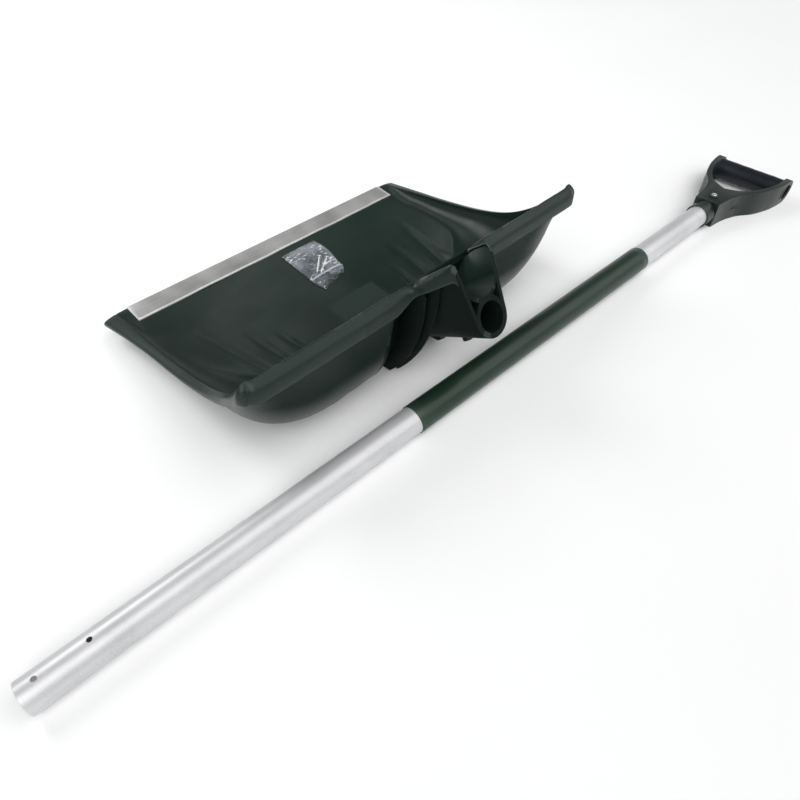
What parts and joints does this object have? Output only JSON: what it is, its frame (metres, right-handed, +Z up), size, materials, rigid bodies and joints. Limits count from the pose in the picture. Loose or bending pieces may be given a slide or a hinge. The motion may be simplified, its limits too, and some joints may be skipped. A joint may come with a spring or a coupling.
{
  "type": "snow shovel",
  "caption": "Snow shovel laid out before assembly: wide scoop with metal wear strip and socket, tube handle with sleeve and D-grip, bag of fixing screws.",
  "frame": {"origin": "floor under the centre of the whole layout's bounding box", "axes": "+X along the handle from its open end to its D-grip, +Y towards the scoop's front edge, +Z up"},
  "size_m": [1.227, 0.4587, 0.1817],
  "materials": {
    "scoop_plastic": "semi-gloss moulded polypropylene, very dark green",
    "mill_aluminium": "mill finish with scratches along and across",
    "anodised_aluminium": "satin clear anodised",
    "sleeve_plastic": "satin dark green sleeve",
    "grip_plastic": "satin green-black moulding",
    "bar_plastic": "satin bluish black",
    "zinc_steel": "bright zinc plated",
    "clear_film": "clear crumpled polyethylene film"
  },
  "bodies": {
    "blade": {"scoop": "scoop_plastic", "wear_strip": "mill_aluminium"},
    "handle": {"handle_tube": "anodised_aluminium", "tube_sleeve": "sleeve_plastic", "grip_yoke": "grip_plastic", "grip_bar": "bar_plastic", "grip_screw": "zinc_steel"},
    "fixings": {"screw_bag": "clear_film", "fixing_screw_1": "zinc_steel", "fixing_screw_2": "zinc_steel"}
  },
  "joints": [
    {"name": "handle_lift_off", "type": "slide", "parent": "blade", "child": "handle", "axis": [0, -1, 0], "range_m": [0, 0.3]},
    {"name": "bag_lift", "type": "slide", "parent": "blade", "child": "fixings", "axis": [0, 0, 1], "range_m": [0, 0.15]}
  ]
}
